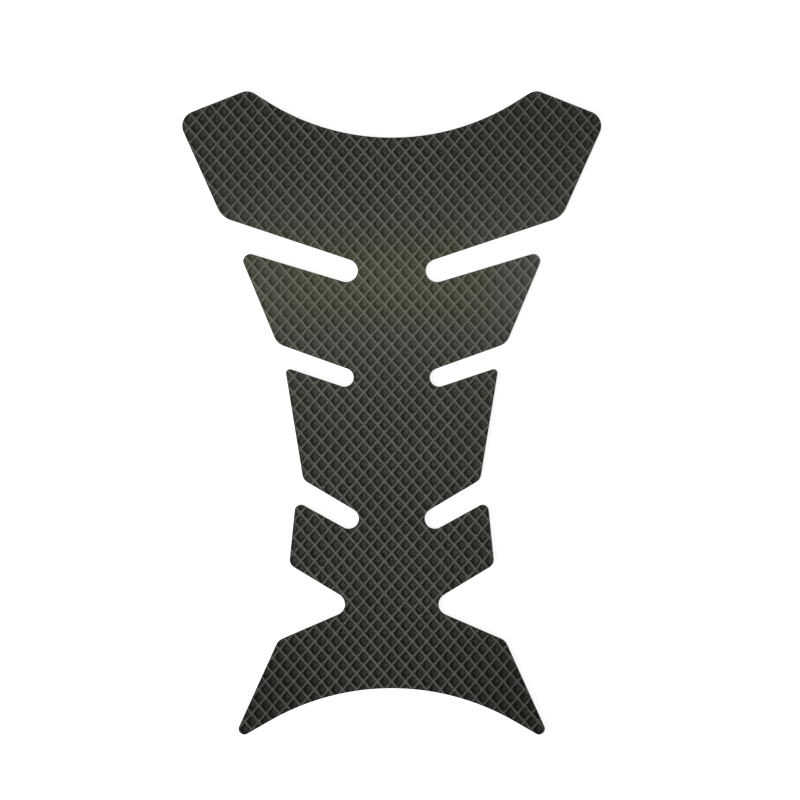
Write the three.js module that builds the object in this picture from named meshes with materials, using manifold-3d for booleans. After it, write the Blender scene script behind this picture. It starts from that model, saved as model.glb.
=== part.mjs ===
// Motorcycle tank pad: one die-cut sheet of moulded rubber with a raised diamond net on its face.
// Millimetres. The pad lies on its flat adhesive side, with its horns towards +Y and its net facing +Z.
// The origin is on the underside, at the middle of the pad's length and width.

import * as THREE from 'three';
import { mergeVertices } from 'three/addons/utils/BufferGeometryUtils.js';
import Module from 'manifold-3d';

// The sheet
const THICKNESS = 2.0;            // underside to the crests of the net
const NET_DEPTH = 0.6;            // crests to the bottoms of the pits
const CELL_WIDTH = 4.564;         // one diamond, from corner to corner across the pad
const CELL_HEIGHT = 5.236;        // one diamond, from corner to corner along the pad
const MIDDLE_PIT_DROP = 1.2;      // from the origin down to the nearest pit. The net is centred on the middle line

// Down the spine: from the tops of the horns, by way of the slots' round ends, to the tips of the feet
const TOP_TO_SLOT_1 = 58.5;
const SLOT_1_TO_SLOT_2 = 34.9;
const SLOT_2_TO_SLOT_3 = 46.1;
const SLOT_3_TO_SLOT_4 = 28.0;
const SLOT_4_TO_FEET = 42.5;

// What each pair of slots leaves of the spine, and the radius of its round ends
const SPINE_AT_SLOT_1 = 22.2;
const SLOT_1_RADIUS = 3.75;
const SPINE_AT_SLOT_2 = 24.9;
const SLOT_2_RADIUS = 3.0;
const SPINE_AT_SLOT_3 = 21.5;
const SLOT_3_RADIUS = 3.35;
const SPINE_AT_SLOT_4 = 30.6;
const SLOT_4_RADIUS = 3.7;

// Horns, and the hollow between them
const HORN_SPAN = 104.0;          // across the outsides of the pair, as every span here is
const HORN_RADIUS = 4.7;
const TOP_HOLLOW_DEPTH = 15.1;
const TOP_HOLLOW_RADIUS = 76.0;

// Shoulders: the outer corner, and the hem corner over slot 1. A rise is from a slot's end to a corner's centre.
const SHOULDER_SPAN = 136.8;
const SHOULDER_DROP = 11.3;       // from the tops of the horns
const SHOULDER_RADIUS = 4.9;
const SHOULDER_HEM_SPAN = 114.8;
const SHOULDER_HEM_RISE = 23.1;
const SHOULDER_HEM_RADIUS = 6.9;

// Upper wings, between slots 1 and 2
const UPPER_TIP_SPAN = 97.0;
const UPPER_TIP_RISE = 3.1;
const UPPER_TIP_RADIUS = 2.3;
const UPPER_HEM_SPAN = 77.4;
const UPPER_HEM_RISE = 15.1;
const UPPER_HEM_RADIUS = 5.1;

// Middle wings, between slots 2 and 3
const MIDDLE_TIP_SPAN = 69.1;
const MIDDLE_TIP_RISE = 1.4;
const MIDDLE_TIP_RADIUS = 1.3;
const MIDDLE_HEM_SPAN = 58.4;
const MIDDLE_HEM_RISE = 14.8;
const MIDDLE_HEM_RADIUS = 3.4;

// Lower wings, between slots 3 and 4
const LOWER_TIP_SPAN = 63.4;
const LOWER_TIP_RISE = 2.5;
const LOWER_TIP_RADIUS = 2.0;
const LOWER_HEM_SPAN = 66.6;
const LOWER_HEM_RISE = 14.7;
const LOWER_HEM_RADIUS = 3.1;

// Feet, under slot 4, and the hollow between them
const FOOT_CORNER_SPAN = 76.2;
const FOOT_CORNER_DROP = 14.8;    // from slot 4's end
const FOOT_CORNER_RADIUS = 3.8;
const FOOT_TIP_SPAN = 100.0;
const FOOT_TIP_RADIUS = 1.9;
const BOTTOM_HOLLOW_DEPTH = 15.1;
const BOTTOM_HOLLOW_RADIUS = 80.0;

const CHORD_ERROR = 0.01;         // how far a straight facet may stray from its arc
const CUT_CLEARANCE = 1.0;        // the die reaches over the sheet's face, and the uncut sheet under its underside

const LENGTH = TOP_TO_SLOT_1 + SLOT_1_TO_SLOT_2 + SLOT_2_TO_SLOT_3 + SLOT_3_TO_SLOT_4 + SLOT_4_TO_FEET;
const TOP = LENGTH / 2;
const SLOT_1 = TOP - TOP_TO_SLOT_1;
const SLOT_2 = SLOT_1 - SLOT_1_TO_SLOT_2;
const SLOT_3 = SLOT_2 - SLOT_2_TO_SLOT_3;
const SLOT_4 = SLOT_3 - SLOT_3_TO_SLOT_4;
const FEET = SLOT_4 - SLOT_4_TO_FEET;

const wasm = await Module();
wasm.setup();

// A rounded corner that points outwards: the die line goes round its outside.
function corner(span, y, radius) {
  return { x: span / 2 - radius, y, radius, turn: 1 };
}

// The round end of a slot: the die line turns back round its inside.
function slotEnd(spine, y, radius) {
  return { x: spine / 2 + radius, y, radius, turn: -1 };
}

// A wide hollow centred on the middle line, whose crown is at the given height. up is 1 where it opens to +Y.
function hollow(crown, radius, up) {
  return { x: 0, y: crown + up * radius, radius, turn: -1 };
}

// The circles that the die line of the right half runs round, from the hollow at the feet up to the horns
function rightHalfCircles() {
  return [
    hollow(FEET + BOTTOM_HOLLOW_DEPTH, BOTTOM_HOLLOW_RADIUS, -1),
    corner(FOOT_TIP_SPAN, FEET + FOOT_TIP_RADIUS, FOOT_TIP_RADIUS),
    corner(FOOT_CORNER_SPAN, SLOT_4 - FOOT_CORNER_DROP, FOOT_CORNER_RADIUS),
    slotEnd(SPINE_AT_SLOT_4, SLOT_4, SLOT_4_RADIUS),
    corner(LOWER_HEM_SPAN, SLOT_4 + LOWER_HEM_RISE, LOWER_HEM_RADIUS),
    corner(LOWER_TIP_SPAN, SLOT_3 + LOWER_TIP_RISE, LOWER_TIP_RADIUS),
    slotEnd(SPINE_AT_SLOT_3, SLOT_3, SLOT_3_RADIUS),
    corner(MIDDLE_HEM_SPAN, SLOT_3 + MIDDLE_HEM_RISE, MIDDLE_HEM_RADIUS),
    corner(MIDDLE_TIP_SPAN, SLOT_2 + MIDDLE_TIP_RISE, MIDDLE_TIP_RADIUS),
    slotEnd(SPINE_AT_SLOT_2, SLOT_2, SLOT_2_RADIUS),
    corner(UPPER_HEM_SPAN, SLOT_2 + UPPER_HEM_RISE, UPPER_HEM_RADIUS),
    corner(UPPER_TIP_SPAN, SLOT_1 + UPPER_TIP_RISE, UPPER_TIP_RADIUS),
    slotEnd(SPINE_AT_SLOT_1, SLOT_1, SLOT_1_RADIUS),
    corner(SHOULDER_HEM_SPAN, SLOT_1 + SHOULDER_HEM_RISE, SHOULDER_HEM_RADIUS),
    corner(SHOULDER_SPAN, TOP - SHOULDER_DROP, SHOULDER_RADIUS),
    corner(HORN_SPAN, TOP - HORN_RADIUS, HORN_RADIUS),
    hollow(TOP - TOP_HOLLOW_DEPTH, TOP_HOLLOW_RADIUS, 1),
  ];
}

// Heading of the straight run that leaves circle a and meets circle b, each passed on its own side
function heading(a, b) {
  const apart = Math.hypot(b.x - a.x, b.y - a.y);
  const lean = Math.asin((b.turn * b.radius - a.turn * a.radius) / apart);
  return Math.atan2(b.y - a.y, b.x - a.x) - lean;
}

// The arc of a circle between the heading on which the die line comes and the one on which it leaves
function arcPoints(circle, headingIn, headingOut) {
  const toRim = -circle.turn * Math.PI / 2;
  const arc = new THREE.EllipseCurve(
    circle.x, circle.y, circle.radius, circle.radius, headingIn + toRim, headingOut + toRim, circle.turn < 0);
  const widestFacet = 2 * Math.acos(1 - CHORD_ERROR / circle.radius);
  return arc.getPoints(Math.ceil(arc.getLength() / circle.radius / widestFacet));
}

// The die line: a belt of straight runs and arcs round the circles, up the right side and down the left
function dieLine() {
  const right = rightHalfCircles();
  const left = right.slice(1, -1).reverse().map((circle) => ({ ...circle, x: -circle.x }));
  const belt = [...right, ...left];
  const headings = belt.map((circle, i) => heading(circle, belt[(i + 1) % belt.length]));
  const points = belt.flatMap((circle, i) => arcPoints(circle, headings.at(i - 1), headings[i]));
  return new THREE.Shape(points);
}

// The sheet before it is cut: a slab whose face is a net of crests with a four-sided pit in each diamond.
// Its face is a grid of half diamonds, in which every other point is the bottom of a pit. It reaches below the
// underside, so the die's own flat end makes that.
function nettedSheet(bounds) {
  const size = bounds.getSize(new THREE.Vector2());
  const cellsAcross = Math.ceil(size.x / CELL_WIDTH) + 1;
  const cellsAlong = Math.ceil(size.y / CELL_HEIGHT) + 1;
  const depth = THICKNESS + CUT_CLEARANCE;
  const geometry = new THREE.BoxGeometry(
    cellsAcross * CELL_WIDTH, cellsAlong * CELL_HEIGHT, depth, 2 * cellsAcross, 2 * cellsAlong, 1);
  geometry.translate(0, 0, THICKNESS - depth / 2);
  const face = geometry.groups[4];
  geometry.deleteAttribute('normal');
  geometry.deleteAttribute('uv');
  const sheet = mergeVertices(geometry);
  pressPits(sheet.getAttribute('position'));
  turnDiagonals(sheet.getAttribute('position'), sheet.index, face);
  return sheet.translate(0, -MIDDLE_PIT_DROP, 0);
}

function pressPits(position) {
  for (let i = 0; i < position.count; i += 1) {
    const column = Math.round(position.getX(i) / (CELL_WIDTH / 2));
    const row = Math.round(position.getY(i) / (CELL_HEIGHT / 2));
    const onFace = position.getZ(i) > THICKNESS / 2;
    if (onFace && (column + row) % 2 === 0) {
      position.setZ(i, THICKNESS - NET_DEPTH);
    }
  }
}

// A crest joins the two high corners of each rectangle of the grid, so a rectangle whose diagonal joins the two
// low ones is divided the other way. The box writes a rectangle as the triangles a, b, d and b, c, d.
function turnDiagonals(position, index, face) {
  for (let k = face.start; k < face.start + face.count; k += 6) {
    const [a, b, d, , c] = [0, 1, 2, 3, 4].map((step) => index.getX(k + step));
    if (position.getZ(a) > position.getZ(b)) {
      [a, b, c, a, c, d].forEach((vertex, step) => index.setX(k + step, vertex));
    }
  }
}

function toSolid(geometry) {
  const bare = geometry.clone();
  bare.deleteAttribute('normal');
  bare.deleteAttribute('uv');
  const merged = mergeVertices(bare);
  const vertProperties = new Float32Array(merged.getAttribute('position').array);
  const triVerts = new Uint32Array(merged.index.array);
  return new wasm.Manifold(new wasm.Mesh({ numProp: 3, vertProperties, triVerts }));
}

function toGeometry(solid) {
  const mesh = solid.getMesh();
  const geometry = new THREE.BufferGeometry();
  geometry.setAttribute('position', new THREE.BufferAttribute(mesh.vertProperties, 3));
  geometry.setIndex(new THREE.BufferAttribute(mesh.triVerts, 1));
  geometry.computeVertexNormals();
  return geometry;
}

// The sheet, cut by the die
function tankPad() {
  const outline = dieLine();
  const die = new THREE.ExtrudeGeometry(outline, { depth: THICKNESS + CUT_CLEARANCE, bevelEnabled: false });
  const sheet = nettedSheet(new THREE.Box2().setFromPoints(outline.getPoints()));
  const pad = toSolid(sheet).intersect(toSolid(die));
  const rubber = new THREE.MeshStandardMaterial({ color: 0x3d3e38, roughness: 0.72, metalness: 0 });
  const mesh = new THREE.Mesh(toGeometry(pad), rubber);
  mesh.name = 'tank_pad';
  return mesh;
}

const model = new THREE.Group();
model.add(tankPad());

export default model;
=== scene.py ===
"""A motorcycle tank pad: one die-cut sheet of moulded rubber, whose face carries a raised diamond net.

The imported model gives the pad's outline and thickness. The net, its ribs, pits and rim are made here.
Lengths are in metres, unless a name or a comment says millimetres.
"""

import math

import bmesh
import bpy
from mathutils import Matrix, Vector


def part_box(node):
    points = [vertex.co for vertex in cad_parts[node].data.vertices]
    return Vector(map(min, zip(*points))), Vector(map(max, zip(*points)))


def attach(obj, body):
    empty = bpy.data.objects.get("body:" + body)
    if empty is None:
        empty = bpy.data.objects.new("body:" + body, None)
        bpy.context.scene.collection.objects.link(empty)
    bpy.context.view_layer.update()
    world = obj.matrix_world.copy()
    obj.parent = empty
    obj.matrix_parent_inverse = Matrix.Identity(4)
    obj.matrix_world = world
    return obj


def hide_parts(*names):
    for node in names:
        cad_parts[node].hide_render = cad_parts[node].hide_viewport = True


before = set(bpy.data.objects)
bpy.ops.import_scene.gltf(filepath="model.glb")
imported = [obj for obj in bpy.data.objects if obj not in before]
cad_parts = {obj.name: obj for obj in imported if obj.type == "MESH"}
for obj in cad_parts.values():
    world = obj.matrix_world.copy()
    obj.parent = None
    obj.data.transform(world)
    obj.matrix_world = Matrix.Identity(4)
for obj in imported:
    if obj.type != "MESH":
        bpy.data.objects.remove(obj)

bl_info = {
    "name": "Tank Pad",
    "version": (1, 0, 0),
    "blender": (4, 5, 0),
    "location": "3D View > Sidebar > Tank Pad",
    "description": "Makes a rubber tank pad with a raised diamond net, and a stage to show it on",
    "category": "Add Mesh",
}

CAD_NODE = "tank_pad"
CAD_LOW, CAD_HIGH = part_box(CAD_NODE)
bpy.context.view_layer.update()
MILLIMETRE = 1e-3
WELD = 2e-6                 # points nearer than this are one point
SLIVER = 1e-6               # a face of the cut pad that is thinner than this is closed up


# Settings

def length(name, description, millimetres):
    """A size in metres, with its default given in millimetres."""
    return bpy.props.FloatProperty(
        name=name, description=description, default=millimetres * MILLIMETRE,
        min=0.0, precision=5, unit="LENGTH")


def place(name, description, millimetres):
    """A coordinate in metres, with its default given in millimetres."""
    return bpy.props.FloatProperty(
        name=name, description=description, default=millimetres * MILLIMETRE,
        precision=5, unit="LENGTH")


def colour(name, description, default):
    """A colour, as the linear values that a shader takes."""
    return bpy.props.FloatVectorProperty(
        name=name, description=description, default=default,
        size=3, min=0.0, max=1.0, subtype="COLOR")


def share(name, description, default):
    """A number from 0 to 1."""
    return bpy.props.FloatProperty(
        name=name, description=description, default=default, min=0.0, max=1.0, subtype="FACTOR")


class NetSettings(bpy.types.PropertyGroup):
    """Sizes of the raised net and of the pad's rim."""

    cell_width: length("Cell width", "One diamond, from corner to corner across the pad", 4.564)
    cell_height: length("Cell height", "One diamond, from corner to corner along the pad", 5.236)
    pit_drop: length(
        "Pit drop", "From the pad's middle down to the nearest pit. The net is centred across the pad", 1.2)
    depth: length("Depth", "From the tops of the ribs down to the middles of the pits", 0.6)
    rib_width: length("Rib width", "The flat top of a rib", 0.26)
    shoulder_run: length("Shoulder run", "Width of the slope along each edge of a rib", 0.36)
    shoulder_drop: length("Shoulder drop", "How far that slope falls", 0.14)
    wall_run: length("Wall run", "How far a pit's wall leans out on its way down", 0.34)
    dish: length("Dish", "How far the floor of a pit rises from its middle to its walls", 0.13)
    rim: length("Rim", "Radius of the rounded upper edge along the die line", 0.42)
    rim_steps: bpy.props.IntProperty(name="Rim steps", description="Facets round the rim", default=4, min=1)


class RubberSettings(bpy.types.PropertyGroup):
    """Colours and gloss of the rubber and of its adhesive side. Some of the rubber's colours are painted
    light and shade.
    """

    # The ribs' tops are paler than the pits' floors: partly scuffing, partly painted highlight.
    crest: colour("Crest", "Scuffed tops of the ribs", (0.078, 0.080, 0.0650))
    # Near black: painted shade on the pits' walls and on the rounded rim.
    wall: colour("Wall", "Walls of the pits", (0.0040, 0.0042, 0.0032))
    floor: colour("Floor", "Floors of the pits", (0.026, 0.027, 0.0205))
    cut: colour("Cut", "The side where the die went through", (0.026, 0.0265, 0.0225))
    # The next two colours are a band of dust and painted sheen across the pad: olive, and greyer on the right
    # wing.
    olive_dust_and_sheen: colour(
        "Haze", "Fine dust that lies across the pad between its first two pairs of wings",
        (0.0400, 0.0440, 0.0215))
    dust_and_sheen: colour(
        "Dust", "The same dust where it is greyer, most of all on the right wing",
        (0.0485, 0.0440, 0.0400))
    adhesive: colour("Adhesive", "The coat on the flat side", (0.035, 0.034, 0.031))
    thick_adhesive: colour(
        "Thick adhesive", "The same coat where the roller left it thicker", (0.095, 0.090, 0.078))
    roughness: share("Roughness", "Roughness of the rubber", 0.45)
    adhesive_roughness: share("Adhesive roughness", "Roughness of the coat on the flat side", 0.28)


class StageSettings(bpy.types.PropertyGroup):
    """The floor, the lamps and the camera."""

    camera_height: length("Camera height", "From the pad's face up to the lens", 725.0)
    view_width: length("View width", "What the picture covers at the pad's face", 261.0)
    view_across: place("View across", "Middle of the picture, to the right of the pad's middle", 2.71)
    view_along: place("View along", "Middle of the picture, from the pad's middle towards its horns", 4.23)
    floor_size: length("Floor size", "Side of the square floor", 3000.0)


# Node trees

class Wire:
    """A node's output. It takes part in sums, so a formula in a node tree reads as one."""

    def __init__(self, tree, node, output):
        self.tree = tree
        self.node = node
        self.socket = node.outputs[output]

    def output(self, name):
        """Another output of the same node."""
        return Wire(self.tree, self.node, name)

    def maths(self, operation, first, second=0.0):
        return self.tree.add("ShaderNodeMath", {"operation": operation}, {0: first, 1: second})

    def at_least(self, other):
        """This value or the other one, whichever is greater."""
        return self.maths("MAXIMUM", self, other)

    def __abs__(self):
        return self.maths("ABSOLUTE", self)

    def __add__(self, other):
        return self.maths("ADD", self, other)

    __radd__ = __add__

    def __sub__(self, other):
        return self.maths("SUBTRACT", self, other)

    def __rsub__(self, other):
        return self.maths("SUBTRACT", other, self)

    def __mul__(self, other):
        return self.maths("MULTIPLY", self, other)

    __rmul__ = __mul__

    def __truediv__(self, other):
        return self.maths("DIVIDE", self, other)

    def __rtruediv__(self, other):
        return self.maths("DIVIDE", other, self)

    def __pow__(self, other):
        return self.maths("POWER", self, other)

    def __rpow__(self, other):
        return self.maths("POWER", other, self)

    def __gt__(self, other):
        return self.maths("GREATER_THAN", self, other)

    def __lt__(self, other):
        return self.maths("LESS_THAN", self, other)


class Tree:
    """A node tree that is written one call a node."""

    def __init__(self, tree):
        self.tree = tree

    def add(self, kind, settings=None, sockets=None, output=0):
        """Adds a node. Its settings come first, because they decide which sockets it has."""
        node = self.tree.nodes.new(kind)
        for name, value in (settings or {}).items():
            setattr(node, name, value)
        for key, value in (sockets or {}).items():
            self.feed(node.inputs[key], value)
        return Wire(self, node, output) if node.outputs else None

    def feed(self, socket, value):
        """Gives a socket its value, its link or its several links."""
        for each in value if isinstance(value, list) else [value]:
            if isinstance(each, Wire):
                self.tree.links.new(each.socket, socket)
            else:
                socket.default_value = each

    def choose(self, index, values):
        """The value that stands at the given place in a list."""
        switch = self.tree.nodes.new("GeometryNodeIndexSwitch")
        switch.data_type = "FLOAT"
        while len(switch.index_switch_items) < len(values):
            switch.index_switch_items.new()
        self.feed(switch.inputs[0], index)
        for socket, value in zip(list(switch.inputs)[1:], values):
            self.feed(socket, value)
        return Wire(self, switch, 0)

    def ramp(self, value, low, high):
        """0 at low and 1 at high, held past both, with a smooth change between. Either may be the greater."""
        return self.add("ShaderNodeMapRange", {"interpolation_type": "SMOOTHSTEP"}, {
            0: value, 1: low, 2: high, 3: 0.0, 4: 1.0})

    def mix(self, factor, first, second, blend="MIX"):
        """A colour between two colours, or another blend of them."""
        return self.add("ShaderNodeMix", {"data_type": "RGBA", "blend_type": blend}, {
            0: factor, 6: opaque(first), 7: opaque(second)}, 2)

    def noise(self, vector, scale, detail, roughness):
        return self.add("ShaderNodeTexNoise", None, {
            "Vector": vector, "Scale": scale, "Detail": detail, "Roughness": roughness}, "Fac")

    def stretch(self, vector, scale):
        """Coordinates on which a noise is drawn out along each axis that has a scale under 1."""
        return self.add("ShaderNodeVectorMath", {"operation": "MULTIPLY"}, {0: vector, 1: scale})


def opaque(value):
    """A colour property as the four numbers of a colour socket. Anything else stays as it is."""
    if isinstance(value, (Wire, tuple)):
        return value
    return (*value, 1.0)


# The net

NET_SIZES = (
    "Cell Width", "Cell Height", "Depth", "Rib Width", "Shoulder Run", "Shoulder Drop", "Wall Run", "Dish",
    "Thickness", "Pit Drop")
TILE_POINTS = 8             # points along each side of a tile of the net
SLAB_DEPTH = 4e-3           # thickness of the uncut sheet, which so reaches past the pad's underside
HARD_EDGE = math.radians(60.0)      # an edge that is sharper than this is shaded as a hard one
FACES_DOWN = -0.9           # a face is coated with adhesive where its normal's height is below this


def net_tile(tree, given):
    """One crossing of two ribs, out to the middles of the four pits round it.

    A grid of eight by eight points stands for it, four on each side of both ribs: the rib's edge, the foot
    of its shoulder, the foot of the wall and the middle of the pit. They start on a plain grid, the nearest
    of them half a step from its middle, and the whole steps past that pick a point's place and height. Each
    point takes the higher of the two ribs' profiles.
    """
    width, height = given.output("Cell Width"), given.output("Cell Height")
    pitch = (width ** -2.0 + height ** -2.0) ** -0.5
    edge = given.output("Rib Width") * 0.5
    shoulder = edge + given.output("Shoulder Run")
    wall = shoulder + given.output("Wall Run")
    offsets = [edge / pitch, shoulder / pitch, wall / pitch, 0.5]
    top = given.output("Thickness")
    bottom = top - given.output("Depth")
    heights = [top, top - given.output("Shoulder Drop"), bottom + given.output("Dish"), bottom]
    grid = tree.add("GeometryNodeMeshGrid", None, {
        "Size X": TILE_POINTS - 1.0, "Size Y": TILE_POINTS - 1.0,
        "Vertices X": TILE_POINTS, "Vertices Y": TILE_POINTS})
    position = tree.add("ShaderNodeSeparateXYZ", None, {0: tree.add("GeometryNodeInputPosition")})
    across, rises = [], []
    for axis in ("X", "Y"):
        place_on_grid = position.output(axis)
        far = abs(place_on_grid) - 0.5
        step = tree.add("FunctionNodeFloatToInt", {"rounding_mode": "ROUND"}, {0: far})
        across.append(place_on_grid.maths("SIGN", place_on_grid) * tree.choose(step, offsets))
        rises.append(tree.choose(step, heights))
    spot = tree.add("ShaderNodeCombineXYZ", None, {
        0: (across[0] + across[1]) * width * 0.5,
        1: (across[1] - across[0]) * height * 0.5 - given.output("Pit Drop"),
        2: rises[0].at_least(rises[1])})
    return tree.add("GeometryNodeSetPosition", None, {"Geometry": grid, "Position": spot})


def net_face(tree, given, tile):
    """The tile on every crossing of the net. The crossings lie on two grids, each in the other's gaps."""
    width, height = given.output("Cell Width"), given.output("Cell Height")
    columns, rows = given.output("Columns"), given.output("Rows")
    tiled = []
    for more_columns, more_rows in ((0.0, 1.0), (1.0, 0.0)):
        points_across = columns * 2.0 + more_columns
        points_along = rows * 2.0 + more_rows
        points = tree.add("GeometryNodeMeshGrid", None, {
            "Size X": (points_across - 1.0) * width, "Size Y": (points_along - 1.0) * height,
            "Vertices X": points_across, "Vertices Y": points_along})
        tiled.append(tree.add("GeometryNodeInstanceOnPoints", None, {"Points": points, "Instance": tile}))
    joined = tree.add("GeometryNodeJoinGeometry", None, {0: tiled})
    real = tree.add("GeometryNodeRealizeInstances", None, {0: joined})
    face = tree.add("GeometryNodeMergeByDistance", None, {"Geometry": real, "Distance": WELD})
    return tree.add("GeometryNodeTriangulate", {"quad_method": "LONGEST_DIAGONAL"}, {"Mesh": face})


def uncut_sheet(tree, face):
    """The face, closed below by a copy of itself and by walls round its edge."""
    down = tree.add("ShaderNodeCombineXYZ", None, {2: -SLAB_DEPTH})
    below = tree.add("GeometryNodeExtrudeMesh", {"mode": "FACES"}, {
        "Mesh": face, "Offset": down, "Offset Scale": 1.0, "Individual": False})
    turned = tree.add("GeometryNodeFlipFaces", None, {0: below})
    joined = tree.add("GeometryNodeJoinGeometry", None, {0: [face, turned]})
    return tree.add("GeometryNodeMergeByDistance", None, {"Geometry": joined, "Distance": WELD})


def net_group():
    """The tree that lays the net over the whole pad and keeps what lies inside the die's solid."""
    group = bpy.data.node_groups.new("Diamond net", "GeometryNodeTree")
    group.interface.new_socket("Geometry", in_out="INPUT", socket_type="NodeSocketGeometry")
    for name in NET_SIZES:
        group.interface.new_socket(name, in_out="INPUT", socket_type="NodeSocketFloat")
    for name in ("Columns", "Rows"):
        group.interface.new_socket(name, in_out="INPUT", socket_type="NodeSocketInt")
    for name in ("Rubber", "Adhesive"):
        group.interface.new_socket(name, in_out="INPUT", socket_type="NodeSocketMaterial")
    group.interface.new_socket("Geometry", in_out="OUTPUT", socket_type="NodeSocketGeometry")
    tree = Tree(group)
    given = tree.add("NodeGroupInput")
    sheet = uncut_sheet(tree, net_face(tree, given, net_tile(tree, given)))
    pad = tree.add("GeometryNodeMeshBoolean", {"operation": "INTERSECT", "solver": "MANIFOLD"}, {
        "Mesh 2": [sheet, given]})
    angle = tree.add("GeometryNodeInputMeshEdgeAngle")
    smooth = tree.add("GeometryNodeSetShadeSmooth", {"domain": "FACE"}, {
        "Geometry": pad, "Shade Smooth": True})
    crisp = tree.add("GeometryNodeSetShadeSmooth", {"domain": "EDGE"}, {
        "Geometry": smooth, "Selection": angle > HARD_EDGE, "Shade Smooth": False})
    real = tree.add("GeometryNodeRealizeInstances", None, {0: crisp})
    rubber = tree.add("GeometryNodeSetMaterial", None, {
        "Geometry": real, "Material": given.output("Rubber")})
    normal = tree.add("GeometryNodeInputNormal")
    upright = tree.add("ShaderNodeSeparateXYZ", None, {0: normal}, "Z")
    coated = tree.add("GeometryNodeSetMaterial", None, {
        "Geometry": rubber, "Selection": upright < FACES_DOWN, "Material": given.output("Adhesive")})
    tree.add("NodeGroupOutput", None, {0: coated})
    return group


# The die

DIE_OVERSHOOT = 2e-5        # how far the die's solid stands over the ribs, so no two faces are coplanar


def die_line():
    """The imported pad's outline, as the points round its underside, anticlockwise seen from above."""
    mesh = bmesh.new()
    mesh.from_mesh(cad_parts[CAD_NODE].data)
    bmesh.ops.remove_doubles(mesh, verts=mesh.verts, dist=WELD)
    under = {face for face in mesh.faces if all(vertex.co.z < CAD_LOW.z + WELD for vertex in face.verts)}
    following = {}
    for face in under:
        for loop in face.loops:
            if sum(neighbour in under for neighbour in loop.edge.link_faces) == 1:
                following[loop.link_loop_next.vert.co.xy.to_tuple()] = loop.vert.co.xy.to_tuple()
    mesh.free()
    start = min(following)
    points = [start]
    while following[points[-1]] != start:
        points.append(following[points[-1]])
    if len(points) != len(following):
        raise RuntimeError("the pad's underside has more than one outline")
    return [Vector(point) for point in points]


def inset(points, distance):
    """The outline, moved inwards by the given distance."""
    moved = []
    for before, point, after in zip(points[-1:] + points[:-1], points, points[1:] + points[:1]):
        first, second = (point - before).normalized(), (after - point).normalized()
        inwards = Vector((-first.y - second.y, first.x + second.x)) / (1.0 + first.dot(second))
        moved.append(point + inwards * distance)
    return moved


def die_solid(settings):
    """What the die leaves: the outline's prism, with a rounded upper edge."""
    outline = die_line()
    top = CAD_HIGH.z + DIE_OVERSHOOT
    rings = [(CAD_LOW.z, 0.0)]
    for step in range(settings.rim_steps + 1):
        angle = math.pi / 2 * step / settings.rim_steps
        rings.append((top - settings.rim * (1.0 - math.sin(angle)), settings.rim * (1.0 - math.cos(angle))))
    mesh = bmesh.new()
    loops = [[mesh.verts.new((*point, z)) for point in inset(outline, distance)] for z, distance in rings]
    for lower, upper in zip(loops, loops[1:]):
        for i in range(len(outline)):
            mesh.faces.new((lower[i - 1], lower[i], upper[i], upper[i - 1]))
    mesh.faces.new(reversed(loops[0]))
    mesh.faces.new(loops[-1])
    bmesh.ops.triangulate(mesh, faces=mesh.faces)
    solid = bpy.data.meshes.new("rubber_pad")
    mesh.to_mesh(solid)
    mesh.free()
    return solid


def close_slivers(pad):
    """Takes out the hair-thin faces that the cut leaves along the die line.

    The pad stays as it was if it wouldn't be closed without them.
    """
    mesh = bmesh.new()
    mesh.from_mesh(pad)
    bmesh.ops.triangulate(mesh, faces=mesh.faces)
    bmesh.ops.dissolve_degenerate(mesh, edges=mesh.edges, dist=SLIVER)
    bmesh.ops.triangulate(mesh, faces=mesh.faces)
    if all(edge.is_manifold for edge in mesh.edges):
        mesh.to_mesh(pad)
    mesh.free()


# Finishes. A pair holds where a change begins and where it is complete.
# How upright a face is goes from 1, where it faces up, to 0, where it faces sideways.

PALE_CREST_DEPTH = 0.15 * MILLIMETRE   # how far down from their tops the ribs are paler: scuffed, and painted highlight
PALE_CREST_UPRIGHT = (0.70, 0.90)      # a face less upright than this isn't paler, so the rounded rim keeps the walls' painted shade
FLOOR_UPRIGHT = (0.84, 0.985)       # less upright than this it is a wall, in painted shade, and more it is a floor
CUT_UPRIGHT = (0.15, 0.45)          # less upright than this it is the side that the die cut
FILM_HEIGHT = (0.10 * MILLIMETRE, 0.14 * MILLIMETRE)    # how far up the cut side the adhesive shows

# Parts of the pad
WINGS = (0.010, 0.042)              # out from the middle line, on both sides
RIGHT_WING = (0.018, 0.032)
LEFT_WING = (-0.020, -0.036)
HORNS = (0.055, 0.085)
FEET = (-0.050, -0.090)

# Noises, each with its scale, its detail and its roughness
GRAIN = (2600.0, 3.0, 0.6)
SPECK = (1400.0, 2.0, 0.5)
PATCH = (38.0, 3.0, 0.55)
STREAK = (3600.0, 2.0, 0.6)
CLOUD = (120.0, 4.0, 0.6)
RIPPLE = (700.0, 2.0, 0.5)
STROKE = (900.0, 3.0, 0.6)
BUBBLE = (420.0, 1.0, 0.4)
NOISE_MEAN = 0.5                    # what a noise varies about
GRAIN_RELIEF = 0.5                  # how far the grain stands out, beside the specks
CUT_STRETCH = (1.0, 1.0, 0.12)      # draws the streaks out, up the cut side
ROLLER_STRETCH = (1.0, 0.03, 1.0)   # draws the roller's strokes out, along the pad

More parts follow.
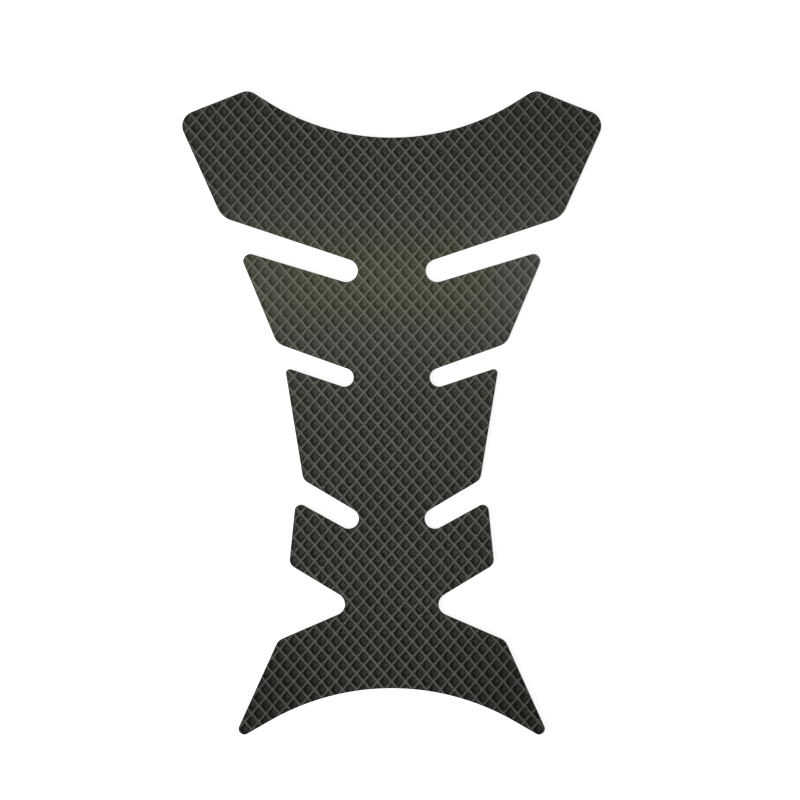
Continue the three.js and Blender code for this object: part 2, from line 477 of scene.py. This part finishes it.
# How the rubber's colour varies, as parts of it. Darker wings and feet are painted shade, paler horns painted
# light
WING_PAINTED_SHADE = 0.16                    # painted shade: how much darker the wings are
FOOT_PAINTED_SHADE = 0.10                    # painted shade: how much darker the feet are, and their outer parts once more
FOOT_PIT_PAINTED_SHADE = 0.28                # painted shade: how much darker still the pits of the feet are
HORN_PAINTED_LIGHT = 0.02                    # painted light: how much paler the horns are
PIT_SPECKLE = 5.2                   # how strongly the specks mottle the pits
CREST_SPECKLE_LOSS = 3.4            # how much less they mottle the ribs
GRAIN_SPECKLE = 1.6
PATCH_SPECKLE = 0.3
DARKEST = 0.1                       # the least that the mottling leaves of a colour
CUT_SHOWN = 0.25                    # how far the cut side's own colour shows between its streaks
CUT_STREAKED = 1.1                  # how much further it shows along them

# The band of dust and painted sheen across the pad between its first two pairs of wings
BAND_MIDDLE = 0.045                 # where it lies thickest, along the pad
BAND_REACH = 0.022                  # this far towards the horns it thins to 0.37, and to the feet to 0.53
BAND_ROUNDING = 0.2                 # how round its peak is, in reaches
BAND_LEAN = 0.18                    # how much sooner it thins towards the horns than towards the feet
BAND_ON_WINGS = 0.25                # how much more of it lies on the wings
BAND_ENDS = (0.35, 0.95)            # how far from its middle it turns greyer, in reaches
ENDS_GREYER = 0.6                   # how grey it is there
LEFT_WING_GREYER = 0.3              # how grey it is on the left wing. On the right wing it is all grey
RAGGED_EDGE = 0.06                  # how far the patches shift the edge of the right wing's grey

# Gloss
PIT_ROUGHER = 0.22                  # added to the rubber's roughness
CREST_SMOOTHER = 0.2                # taken off it on the ribs
GRAIN_ROUGHER = 0.12
STROKE_ROUGHER = 0.25

# The thickness of the adhesive
CLOUD_COAT = 1.4
THIN_CLOUD = 0.35                   # where the cloudy noise is below this, it thins the coat
STROKE_COAT = 1.2
BUBBLE_COAT = 0.5
BUBBLE_RISE = (0.64, 0.70)          # how high the noise has to be to make a bubble


def new_material(name):
    """An empty material, and its tree."""
    material = bpy.data.materials.new(name)
    material.use_nodes = True
    material.node_tree.nodes.clear()
    return material, Tree(material.node_tree)


def kinds_of_face(tree, high):
    """How far a spot is the paler top of a rib, scuffed and painted highlight, the floor of a pit, and the
    side that the die cut.
    """
    normal = tree.add("ShaderNodeNewGeometry", output="Normal")
    upright = tree.add("ShaderNodeSeparateXYZ", None, {0: normal}, "Z")
    top = CAD_HIGH.z
    crest = tree.ramp(high, top - PALE_CREST_DEPTH, top) * tree.ramp(upright, *PALE_CREST_UPRIGHT)
    level = tree.ramp(upright, *FLOOR_UPRIGHT)
    cut = 1.0 - tree.ramp(upright, *CUT_UPRIGHT)
    return crest, level, cut


def mottle_and_painted_shade(tree, along, outwards, crest, grain, speck, patch):
    """The grey that the rubber's colour is multiplied by: a random mottle, with painted shade on the wings,
    the feet and the feet's pits, and painted light on the horns.
    """
    feet = tree.ramp(along, *FEET)
    horns = tree.ramp(along, *HORNS)
    fade = outwards * (WING_PAINTED_SHADE + FOOT_PAINTED_SHADE * feet)
    # Painted shade on the wings, the feet and the feet's pits, and painted light on the horns.
    low = 1.0 - fade - FOOT_PAINTED_SHADE * feet - FOOT_PIT_PAINTED_SHADE * feet * (1.0 - crest) + HORN_PAINTED_LIGHT * horns
    specks = (PIT_SPECKLE - CREST_SPECKLE_LOSS * crest) * (speck - NOISE_MEAN)
    mottle = 1.0 + specks + GRAIN_SPECKLE * (grain - NOISE_MEAN) + PATCH_SPECKLE * (patch - NOISE_MEAN)
    shade = mottle.at_least(DARKEST) * low
    return tree.add("ShaderNodeCombineColor", None, {0: shade, 1: shade, 2: shade})


def dust_and_sheen_band(tree, settings, along, across, outwards, patch):
    """How strongly the band of dust and painted sheen lies, and its colour."""
    off = (along - BAND_MIDDLE) / BAND_REACH
    reach = (off * off + BAND_ROUNDING ** 2) ** 0.5 + BAND_LEAN * off
    thickness = math.e ** (BAND_ROUNDING - reach) * (1.0 + BAND_ON_WINGS * outwards)
    right_wing = tree.ramp(across + RAGGED_EDGE * (patch - NOISE_MEAN), *RIGHT_WING)
    left_wing = tree.ramp(across, *LEFT_WING)
    ends = tree.ramp(abs(off), *BAND_ENDS)
    greyer = (ENDS_GREYER * ends).at_least(right_wing + LEFT_WING_GREYER * left_wing)
    return thickness, tree.mix(greyer, settings.olive_dust_and_sheen, settings.dust_and_sheen)


def rubber_material(settings):
    """Black rubber: paler ribs, scuffed and painted highlight, painted shade in the pits and on the wings and
    feet, a streaked cut side, and a band of dust and painted sheen.
    """
    material, tree = new_material("netted_rubber")
    spot = tree.add("ShaderNodeTexCoord", output="Object")
    place_on_pad = tree.add("ShaderNodeSeparateXYZ", None, {0: spot})
    across, along, high = (place_on_pad.output(axis) for axis in ("X", "Y", "Z"))
    outwards = tree.ramp(abs(across), *WINGS)
    crest, level, cut = kinds_of_face(tree, high)
    grain, speck, patch = (tree.noise(spot, *kind) for kind in (GRAIN, SPECK, PATCH))
    streak = tree.noise(tree.stretch(spot, CUT_STRETCH), *STREAK)
    # The walls of the pits and the rounded rim: near-black painted shade. The cut side keeps its own colour.
    side = tree.mix(cut * (CUT_SHOWN + CUT_STREAKED * streak), settings.wall, settings.cut)
    pit = tree.mix(level, side, settings.floor)
    # The ribs' tops: paler, partly scuffing and partly painted highlight.
    ribs = tree.mix(crest, pit, settings.crest)
    mottled_and_shaded = tree.mix(1.0, ribs, mottle_and_painted_shade(tree, along, outwards, crest, grain, speck, patch), "MULTIPLY")
    # A band of dust and painted sheen, added over the colour.
    thickness, dust_and_sheen = dust_and_sheen_band(tree, settings, along, across, outwards, patch)
    with_dust_and_sheen = tree.mix(thickness, mottled_and_shaded, dust_and_sheen, "ADD")
    film = (1.0 - tree.ramp(high, *FILM_HEIGHT)) * cut
    tint = tree.mix(film, with_dust_and_sheen, settings.adhesive)
    pit_roughness = settings.roughness + PIT_ROUGHER
    rough = pit_roughness - crest * CREST_SMOOTHER + GRAIN_ROUGHER * (grain - NOISE_MEAN)
    relief = grain * GRAIN_RELIEF + speck + streak * cut
    bump = tree.add("ShaderNodeBump", None, {
        "Strength": 0.5, "Distance": 0.18 * MILLIMETRE, "Height": relief})
    shader = tree.add("ShaderNodeBsdfPrincipled", None, {
        "Base Color": tint, "Roughness": rough, "Normal": bump, "IOR": 1.5, "Specular IOR Level": 0.18})
    tree.add("ShaderNodeOutputMaterial", None, {"Surface": shader})
    return material


def adhesive_material(settings):
    """The adhesive coat: a slightly cloudy film, with the strokes of the roller and small bubbles."""
    material, tree = new_material("adhesive_coat")
    spot = tree.add("ShaderNodeTexCoord", output="Object")
    cloud, ripple = (tree.noise(spot, *kind) for kind in (CLOUD, RIPPLE))
    stroke = tree.noise(tree.stretch(spot, ROLLER_STRETCH), *STROKE)
    bubble = tree.ramp(tree.noise(spot, *BUBBLE), *BUBBLE_RISE)
    thick = CLOUD_COAT * (cloud - THIN_CLOUD) + STROKE_COAT * (stroke - NOISE_MEAN) + BUBBLE_COAT * bubble
    tint = tree.mix(thick.at_least(0.0), settings.adhesive, settings.thick_adhesive)
    rough = settings.adhesive_roughness + STROKE_ROUGHER * stroke
    bump = tree.add("ShaderNodeBump", None, {
        "Strength": 0.3, "Distance": 0.04 * MILLIMETRE, "Height": ripple + stroke + bubble})
    shader = tree.add("ShaderNodeBsdfPrincipled", None, {
        "Base Color": tint, "Roughness": rough, "Normal": bump, "IOR": 1.47})
    tree.add("ShaderNodeOutputMaterial", None, {"Surface": shader})
    return material


# The pad

def net_values(net, rubber):
    """What the net's tree is given, by the names of its inputs."""
    return {
        "Cell Width": net.cell_width,
        "Cell Height": net.cell_height,
        "Pit Drop": net.pit_drop,
        "Depth": net.depth,
        "Rib Width": net.rib_width,
        "Shoulder Run": net.shoulder_run,
        "Shoulder Drop": net.shoulder_drop,
        "Wall Run": net.wall_run,
        "Dish": net.dish,
        "Thickness": CAD_HIGH.z,
        "Columns": math.ceil(CAD_HIGH.x / net.cell_width),
        "Rows": math.ceil((CAD_HIGH.y + net.pit_drop) / net.cell_height),
        "Rubber": rubber_material(rubber),
        "Adhesive": adhesive_material(rubber),
    }


class MakePad(bpy.types.Operator):
    """Make the rubber pad with its diamond net"""

    bl_idname = "tank_pad.make_pad"
    bl_label = "Rubber Pad"

    def execute(self, context):
        net = context.scene.tank_pad_net
        solid = die_solid(net)
        pad = bpy.data.objects.new("rubber_pad", solid)
        context.scene.collection.objects.link(pad)
        modifier = pad.modifiers.new("Diamond net", "NODES")
        modifier.node_group = net_group()
        values = net_values(net, context.scene.tank_pad_rubber)
        for socket in modifier.node_group.interface.items_tree:
            if socket.in_out == "INPUT" and socket.name in values:
                modifier[socket.identifier] = values[socket.name]
        evaluated = pad.evaluated_get(context.evaluated_depsgraph_get())
        pad.data = bpy.data.meshes.new_from_object(evaluated)
        pad.modifiers.clear()
        bpy.data.meshes.remove(solid)
        if not pad.data.polygons:
            raise RuntimeError("the die cut nothing out of the net")
        close_slivers(pad.data)
        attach(pad, "root")
        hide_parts(CAD_NODE)
        return {"FINISHED"}


# The stage

WHITE = (1.0, 1.0, 1.0, 1.0)
FLOOR_GAP = 5e-5            # how far the floor lies under the pad, so no two faces are coplanar
FLOOR_COLOUR = (0.86, 0.86, 0.86, 1.0)
NEAR_GLOW = (0.55, 0.55, 0.55, 1.0)     # the floor's glow by the pad, where the lamps light it too
GLOW_RISE = (0.25, 1.2)     # how far from the pad the glow rises, until it is white without the lamps
FILL = 0.16                 # strength of the light from all round
SENSOR_WIDTH = 36.0         # of the camera, in millimetres
NEAREST_SEEN = 0.01

# Each lamp's name, its place, the point that it faces, its side and its watts
LAMPS = (
    ("overhead", (0.0, 0.09, 1.15), (0.0, 0.02, 0.0), 0.5, 5.0),
    ("key", (-0.68, -0.42, 0.62), (0.0, 0.0, 0.0), 0.35, 7.8),
)


def floor_material():
    """A white floor, which keeps the pad's shadow and runs into the white background away from the lamps."""
    material, tree = new_material("white_floor")
    path = tree.add("ShaderNodeLightPath", output="Is Camera Ray")
    shown = path + path.output("Is Glossy Ray") + path.output("Is Transmission Ray")
    spot = tree.add("ShaderNodeTexCoord", output="Object")
    away = tree.add("ShaderNodeVectorMath", {"operation": "LENGTH"}, {0: spot}, "Value")
    tint = tree.mix(tree.ramp(away, *GLOW_RISE), NEAR_GLOW, WHITE)
    matt = tree.add("ShaderNodeBsdfDiffuse", None, {"Color": FLOOR_COLOUR})
    glow = tree.add("ShaderNodeEmission", None, {"Color": tint, "Strength": shown})
    both = tree.add("ShaderNodeAddShader", None, {0: matt, 1: glow})
    tree.add("ShaderNodeOutputMaterial", None, {"Surface": both})
    return material


def softbox(name, at, towards, size, watts):
    """A square lamp that faces a point."""
    light = bpy.data.lights.new(name, "AREA")
    light.shape = "SQUARE"
    light.size = size
    light.energy = watts
    lamp = bpy.data.objects.new(name, light)
    lamp.location = at
    lamp.rotation_euler = (Vector(towards) - Vector(at)).to_track_quat("-Z", "Y").to_euler()
    bpy.context.scene.collection.objects.link(lamp)


def studio():
    """A world that shows white to the camera and lights the pad faintly from all round."""
    world = bpy.data.worlds.new("studio")
    world.use_nodes = True
    world.node_tree.nodes.clear()
    tree = Tree(world.node_tree)
    path = tree.add("ShaderNodeLightPath", output="Is Camera Ray")
    shown = path + path.output("Is Transmission Ray")
    around = tree.add("ShaderNodeBackground", None, {
        "Color": WHITE, "Strength": FILL + shown * (1.0 - FILL)})
    tree.add("ShaderNodeOutputWorld", None, {"Surface": around})
    return world


def viewer(stage):
    """The camera, straight above the pad."""
    camera = bpy.data.cameras.new("camera")
    camera.sensor_width = SENSOR_WIDTH
    camera.lens = SENSOR_WIDTH * stage.camera_height / stage.view_width
    camera.clip_start = NEAREST_SEEN
    seen_from = bpy.data.objects.new("camera", camera)
    seen_from.location = (stage.view_across, stage.view_along, CAD_HIGH.z + stage.camera_height)
    bpy.context.scene.collection.objects.link(seen_from)
    return seen_from


class MakeStage(bpy.types.Operator):
    """Make the floor, the lamps and the camera"""

    bl_idname = "tank_pad.make_stage"
    bl_label = "Stage"

    def execute(self, context):
        stage = context.scene.tank_pad_stage
        bpy.ops.mesh.primitive_plane_add(size=stage.floor_size, location=(0.0, 0.0, CAD_LOW.z - FLOOR_GAP))
        floor = context.object
        floor.name = "floor"
        floor.data.materials.append(floor_material())
        for lamp in LAMPS:
            softbox(*lamp)
        context.scene.world = studio()
        context.scene.camera = viewer(stage)
        context.scene.view_settings.view_transform = "Standard"
        return {"FINISHED"}


# The add-on

SETTINGS = {
    "tank_pad_net": NetSettings,
    "tank_pad_rubber": RubberSettings,
    "tank_pad_stage": StageSettings,
}


class TankPadPanel(bpy.types.Panel):
    """The pieces and their sizes"""

    bl_idname = "VIEW3D_PT_tank_pad"
    bl_label = "Tank Pad"
    bl_space_type = "VIEW_3D"
    bl_region_type = "UI"
    bl_category = "Tank Pad"

    def draw(self, context):
        listed = ((MakePad, ("tank_pad_net", "tank_pad_rubber")), (MakeStage, ("tank_pad_stage",)))
        for operator, groups in listed:
            box = self.layout.box()
            for group in groups:
                for name in SETTINGS[group].__annotations__:
                    box.prop(getattr(context.scene, group), name)
            box.operator(operator.bl_idname)


CLASSES = (*SETTINGS.values(), MakePad, MakeStage, TankPadPanel)


def register():
    for each in CLASSES:
        bpy.utils.register_class(each)
    for name, group in SETTINGS.items():
        setattr(bpy.types.Scene, name, bpy.props.PointerProperty(type=group))


def unregister():
    for name in SETTINGS:
        delattr(bpy.types.Scene, name)
    for each in reversed(CLASSES):
        bpy.utils.unregister_class(each)


def main():
    register()
    bpy.ops.tank_pad.make_pad()
    bpy.ops.tank_pad.make_stage()
    bpy.context.view_layer.update()


if __name__ == "__main__":
    main()
